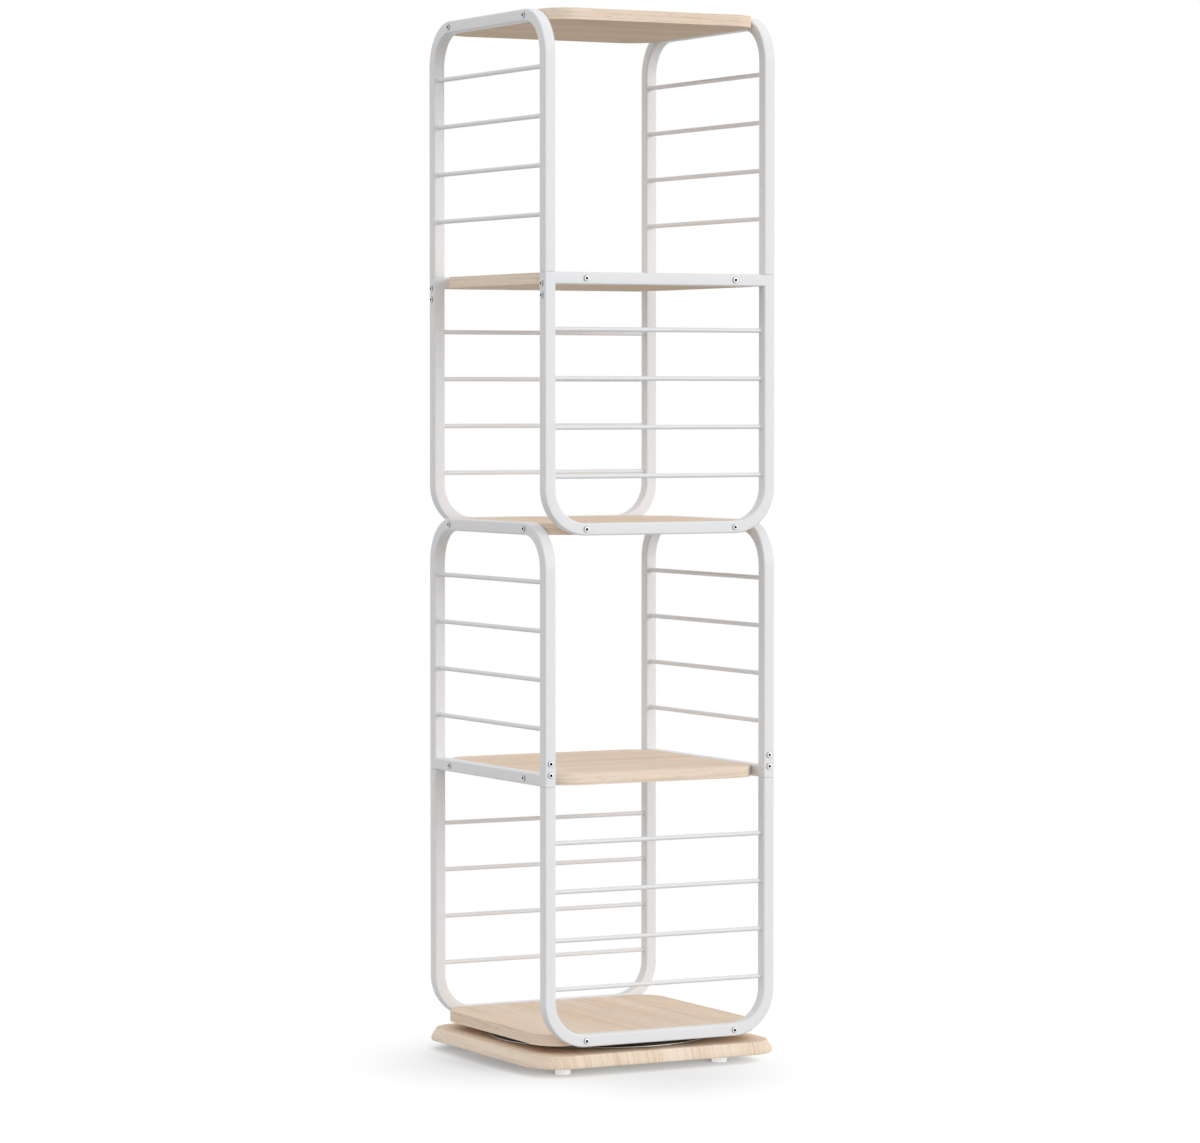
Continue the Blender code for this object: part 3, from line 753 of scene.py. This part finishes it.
def way_round(point, half_x, half_y, corner):
    """How far along a board's edge a point lies, and how long a quarter of the edge is.

    It is counted from the middle of the right side.
    """
    reach_x = half_x - corner
    reach_y = half_y - corner
    turn = math.atan2(max(abs(point.y) - reach_y, 0), max(abs(point.x) - reach_x, 0))
    way = min(abs(point.y), reach_y) + corner * turn + max(reach_x - abs(point.x), 0)
    quarter = reach_x + reach_y + corner * math.pi / 2
    if point.y < 0:
        return (2 * quarter + way if point.x < 0 else 4 * quarter - way), quarter
    return (2 * quarter - way if point.x < 0 else way), quarter


for number, (level, grain_along_x) in enumerate(
    (("bottom", False), ("lower", True), ("middle", False), ("upper", False), ("top", True))
):
    low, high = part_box("shelf_" + level)
    bm = rounded_sheet(high.x, high.y, BOARD_CORNER, low.z)
    pulled(bm, list(bm.faces), (0, 0, high.z - low.z))
    bmesh.ops.recalc_face_normals(bm, faces=bm.faces)
    ease_edges(bm, sharp_edges(bm), BOARD_EASE, BOARD_EASE_STEPS)
    grain = bm.loops.layers.uv.new("grain")
    for face in bm.faces:
        if abs(face.normal.z) > FLAT_FACE_NORMAL:
            for loop in face.loops:
                x, y = loop.vert.co.xy
                loop[grain].uv = (y, x) if grain_along_x else (x, y)
            continue
        first = None
        for loop in face.loops:
            way, quarter = way_round(loop.vert.co, high.x, high.y, BOARD_CORNER)
            first = way if first is None else first
            if way - first > 2 * quarter:
                way -= 4 * quarter
            elif first - way > 2 * quarter:
                way += 4 * quarter
            loop[grain].uv = (loop.vert.co.z - low.z, way)
    board_oak = oak_print("oak_" + level, seed=2.1 + number)
    finished("board_" + level, bm, "tower", "oak_board", [board_oak], "shelf_" + level)


# Screws: zinc-plated steel with a domed button head and a hexagon socket. The socket's walls are painted
# near black as the shade of the recess, and the dome's outer ring is painted darker as shade. They stand
# 0.2 mm off the tubes' faces, like a head on its thin film of paint.
SCREW_SHANK_RADIUS = 2 * MM
SCREW_TIP_RADIUS = 1.5 * MM
SCREW_TIP_LENGTH = 1 * MM
SCREW_HEAD_ROOM = 2.2 * MM
SCREW_HEAD_HEIGHT = 1.5 * MM
SCREW_HEAD_CHAMFER = 0.15 * MM
SCREW_RIM_HEIGHT = 0.5 * MM
SCREW_FLAT_RADIUS = 2.5 * MM
SCREW_EDGE_SHARE = 0.86
SCREW_SPIN = 2.4
SOCKET_ACROSS_FLATS = 3.8 * MM
SOCKET_DEPTH = 1.0 * MM
SOCKET_CONE = 0.3 * MM
SOCKET_WALL_WITHIN = 0.02 * MM
SOCKET_SHADE_SHARE = 1.1
SOCKET_SHADE_BELOW = 0.05 * MM
SCREW_STEPS = 24
DOME_STEPS = 6
ZINC = (0.78, 0.78, 0.79)
ZINC_EDGE_PAINTED_SHADE = (0.30, 0.30, 0.31)
SOCKET_PAINTED_SHADE = (0.004, 0.004, 0.004)


def zinc_plate(name, colour, roughness, metallic=1):
    """Zinc with a slight cloudiness, or, where it isn't metallic, a dull near black: painted shade."""
    material, tree, shader = new_surface(name)
    feed(tree, shader.inputs["Metallic"], metallic)
    feed(tree, shader.inputs["Specular IOR Level"], 0.5 * metallic)
    cloud = object_noise(tree, scale=900, detail=3)
    clouded(tree, shader, colour, darkest=0.88, pattern=cloud)
    gloss = between(tree, cloud, 0, 1, roughness * 0.7, roughness * 1.3)
    feed(tree, shader.inputs["Roughness"], gloss)
    return material


def button_head_screw(head_radius, length, spin):
    """A screw with its head up, its seat at the origin and its socket turned by an angle."""
    socket_mouth = SOCKET_ACROSS_FLATS / 2
    outline = [
        (0, -length),
        (SCREW_TIP_RADIUS, -length),
        (SCREW_SHANK_RADIUS, SCREW_TIP_LENGTH - length),
        (SCREW_SHANK_RADIUS, 0),
        (head_radius - SCREW_HEAD_CHAMFER, 0),
        (head_radius, SCREW_HEAD_CHAMFER),
    ]
    for step in range(DOME_STEPS + 1):
        turn = math.pi / 2 * step / DOME_STEPS
        radius = SCREW_FLAT_RADIUS + (head_radius - SCREW_FLAT_RADIUS) * math.cos(turn)
        height = SCREW_RIM_HEIGHT + (SCREW_HEAD_HEIGHT - SCREW_RIM_HEIGHT) * math.sin(turn)
        outline.append((radius, height))
    outline += [
        (socket_mouth, SCREW_HEAD_HEIGHT),
        (socket_mouth, SCREW_HEAD_HEIGHT - SOCKET_DEPTH),
        (0, SCREW_HEAD_HEIGHT - SOCKET_DEPTH - SOCKET_CONE),
    ]
    bm = turned(outline, SCREW_STEPS)

    # The socket is spun round, and then its wall is pushed out into six flats.
    for vert in bm.verts:
        reach = math.hypot(*vert.co.xy)
        if abs(reach - socket_mouth) < SOCKET_WALL_WITHIN and vert.co.z > 0:
            turn = math.atan2(vert.co.y, vert.co.x) % (math.pi / 3) - math.pi / 6
            vert.co.xy = vert.co.xy / math.cos(turn)
    for face in bm.faces:
        centre = face.calc_center_median()
        reach = math.hypot(*centre.xy)
        # The socket's walls get the near-black material: painted shade of the recess.
        in_socket = 0 < centre.z < SCREW_HEAD_HEIGHT - SOCKET_SHADE_BELOW
        if in_socket and reach < socket_mouth * SOCKET_SHADE_SHARE:
            face.material_index = 1
        # The dome's outer ring gets the darker zinc: painted shade.
        elif reach > head_radius * SCREW_EDGE_SHARE:
            face.material_index = 2
    bmesh.ops.rotate(bm, cent=(0, 0, 0), matrix=Matrix.Rotation(spin, 3, "Z"), verts=bm.verts)
    return bm


zinc = zinc_plate("screw_zinc", ZINC, roughness=0.48)
# A darker zinc for the dome's outer ring: painted shade.
zinc_edge_painted_shade = zinc_plate("screw_head_edge_painted_shade", ZINC_EDGE_PAINTED_SHADE, roughness=0.42)
# Near black for the socket's walls: painted shade of the recess.
socket_painted_shade = zinc_plate("screw_socket_shade", SOCKET_PAINTED_SHADE, roughness=0.9, metallic=0)
screws = [node for node in sorted(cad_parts) if "_screw_" in node]
for number, node in enumerate(screws):
    low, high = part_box(node)
    size = high - low
    centre = (low + high) / 2
    if size.x > size.y:
        outward = Vector((math.copysign(1, centre.x), 0, 0))
    else:
        outward = Vector((0, math.copysign(1, centre.y), 0))
    length = max(size.x, size.y) - SCREW_HEAD_ROOM
    seat = centre + outward * (length - SCREW_HEAD_ROOM) / 2
    bm = button_head_screw(min(size.x, size.y) / 2, length, SCREW_SPIN * number)
    bmesh.ops.rotate(bm, cent=(0, 0, 0), matrix=outward.to_track_quat("Z", "Y").to_matrix(), verts=bm.verts)
    bmesh.ops.translate(bm, vec=seat, verts=bm.verts)
    finished("button_head_" + node, bm, "tower", "screw_steel", [zinc, socket_painted_shade, zinc_edge_painted_shade], node)


# Floor: a plain white studio floor that runs out into white. Shade is painted into what is seen of it:
# a soft painted shade under the base plate, and painted pools of shadow where the tower's shade falls:
# a wide one at the left, a wide one at the front, and a narrow one along the plate's left edge. Under the
# plate it gives back a painted glow, stronger than the rest of the floor's, that lights the feet.
FLOOR_RADIUS = 12
FLOOR_STEPS = 96
FLOOR_FADE_START = 0.6
FLOOR_FADE_END = 1.2
FLOOR_COLOUR = 0.10
FLOOR_ROUGHNESS = 0.8
FLOOR_LIFT = 0.925
FLOOR_GLOW = 0.37
# A stronger painted glow under the plate, which lights the feet.
FLOOR_PAINTED_GLOW_UNDER = 0.92
FLOOR_BOUNCE = 0.30
UNDER_PLATE = 165 * MM
PAST_PLATE = 180 * MM
# Painted shadows on the floor: the centre, size, turn and depth of each pool.
PAINTED_SHADOW_POOLS = (
    (Vector((-127, 29, 0)) * MM, Vector((243, 336, 100)) * MM, math.radians(-30.8), 0.244),
    (Vector((9, -193, 0)) * MM, Vector((196, 287, 100)) * MM, math.radians(-37.2), 0.193),
    (Vector((-178, 20, 0)) * MM, Vector((55, 170, 100)) * MM, 0.0, 0.17),
)
# The painted shade under the plate, read from how shut in each spot is.
CONTACT_REACH = 150 * MM
CONTACT_OPEN_TO = (-0.1, -1.0, 0.1)
CONTACT_SAMPLES = 24
CONTACT_SHUT_IN = 0.46
CONTACT_OPEN = 0.74
CONTACT_DARKEST = 0.15


def seen_directly(tree):
    """One where the camera, a reflection or a clear piece looks at the surface, and none for its light."""
    rays = tree_node(tree, "ShaderNodeLightPath").outputs
    seen = maths(tree, "MAXIMUM", rays["Is Camera Ray"], rays["Is Glossy Ray"])
    return maths(tree, "MAXIMUM", seen, rays["Is Transmission Ray"])


floor_white, tree, near = new_surface("studio_floor")
feed(tree, near.inputs["Base Color"], (FLOOR_COLOUR, FLOOR_COLOUR, FLOOR_COLOUR, 1))
feed(tree, near.inputs["Roughness"], FLOOR_ROUGHNESS)
feed(tree, near.inputs["Specular IOR Level"], 0.0)
feed(tree, near.inputs["Emission Color"], (1, 1, 1, 1))
place = tree_node(tree, "ShaderNodeTexCoord").outputs["Object"]

# The painted shade under the plate: how shut in each spot is towards the front, from where it gets its
# light.
toward = tree_node(tree, "ShaderNodeCombineXYZ", values=dict(zip("XYZ", CONTACT_OPEN_TO)))
open_sky = tree_node(
    tree,
    "ShaderNodeAmbientOcclusion",
    {"samples": CONTACT_SAMPLES},
    {"Distance": CONTACT_REACH, "Normal": toward.outputs["Vector"]},
)
shade = between(tree, open_sky.outputs["AO"], CONTACT_SHUT_IN, CONTACT_OPEN, CONTACT_DARKEST, 1.0)

# The pools are painted shadows: ellipses on the floor, darkest in the middle, that fade out to their rim.
for centre, size, turn, depth in PAINTED_SHADOW_POOLS:
    mapping = tree_node(
        tree,
        "ShaderNodeMapping",
        {"vector_type": "TEXTURE"},
        {"Vector": place, "Location": centre, "Rotation": (0, 0, turn), "Scale": size},
    )
    out_from = length_of(tree, mapping.outputs["Vector"])
    pool = between(tree, out_from, 0, 1, 1 - depth, 1.0, kind="SMOOTHSTEP")
    shade = maths(tree, "MULTIPLY", shade, pool)

# What is seen of the floor has the painted shade. What it gives back as light has no shade and is dimmer,
# but under the plate it is a painted glow, nearly as bright as the seen floor, that lights the feet.
seen = seen_directly(tree)
unsigned = tree_node(tree, "ShaderNodeVectorMath", {"operation": "ABSOLUTE"}, {0: place})
aside = tree_node(tree, "ShaderNodeSeparateXYZ", values={"Vector": unsigned.outputs["Vector"]})
from_middle = maths(tree, "MAXIMUM", aside.outputs["X"], aside.outputs["Y"])
given_back = between(tree, from_middle, UNDER_PLATE, PAST_PLATE, FLOOR_PAINTED_GLOW_UNDER, FLOOR_GLOW)
glow = between(tree, seen, 0, 1, given_back, shade)
feed(tree, near.inputs["Emission Strength"], maths(tree, "MULTIPLY", glow, FLOOR_LIFT))
far_strength = between(tree, seen, 0, 1, FLOOR_BOUNCE, 1.0)
far = tree_node(tree, "ShaderNodeEmission", values={"Strength": far_strength})
away = length_of(tree, place)
fade = between(tree, away, FLOOR_FADE_START, FLOOR_FADE_END, kind="SMOOTHSTEP")
blend = tree_node(
    tree,
    "ShaderNodeMixShader",
    values={"Fac": fade, 1: near.outputs["BSDF"], 2: far.outputs["Emission"]},
)
feed(tree, tree.nodes["Material Output"].inputs["Surface"], blend.outputs["Shader"])

bm = bmesh.new()
bmesh.ops.create_circle(bm, cap_ends=True, segments=FLOOR_STEPS, radius=FLOOR_RADIUS)
mesh = bpy.data.meshes.new("studio_floor")
bm.to_mesh(mesh)
bm.free()
mesh.materials.append(floor_white)
floor = bpy.data.objects.new("studio_floor", mesh)
bpy.context.scene.collection.objects.link(floor)
floor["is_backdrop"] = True


# Light: a plain white room all round, which is pure white where it is looked at or mirrored, and one
# broad soft lamp that stands low at the front right.
ROOM_LIGHT = 0.87
LAMP_STRENGTH = 1.04
LAMP_SPREAD = math.radians(28)
LAMP_FROM = Vector((0.80, -1.0, 0.24))

world = bpy.data.worlds.new("studio_room")
bpy.context.scene.world = world
world.use_nodes = True
room = world.node_tree.nodes["Background"]
feed(world.node_tree, room.inputs["Color"], (1, 1, 1, 1))
room_strength = between(world.node_tree, seen_directly(world.node_tree), 0, 1, ROOM_LIGHT, 1.0)
feed(world.node_tree, room.inputs["Strength"], room_strength)

lamp_data = bpy.data.lights.new("front_lamp", "SUN")
lamp_data.energy = LAMP_STRENGTH
lamp_data.angle = LAMP_SPREAD
lamp = bpy.data.objects.new("front_lamp", lamp_data)
lamp.rotation_euler = LAMP_FROM.to_track_quat("Z", "Y").to_euler()
bpy.context.scene.collection.objects.link(lamp)

# The finished model's box, over every shown piece but the floor.
low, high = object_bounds()
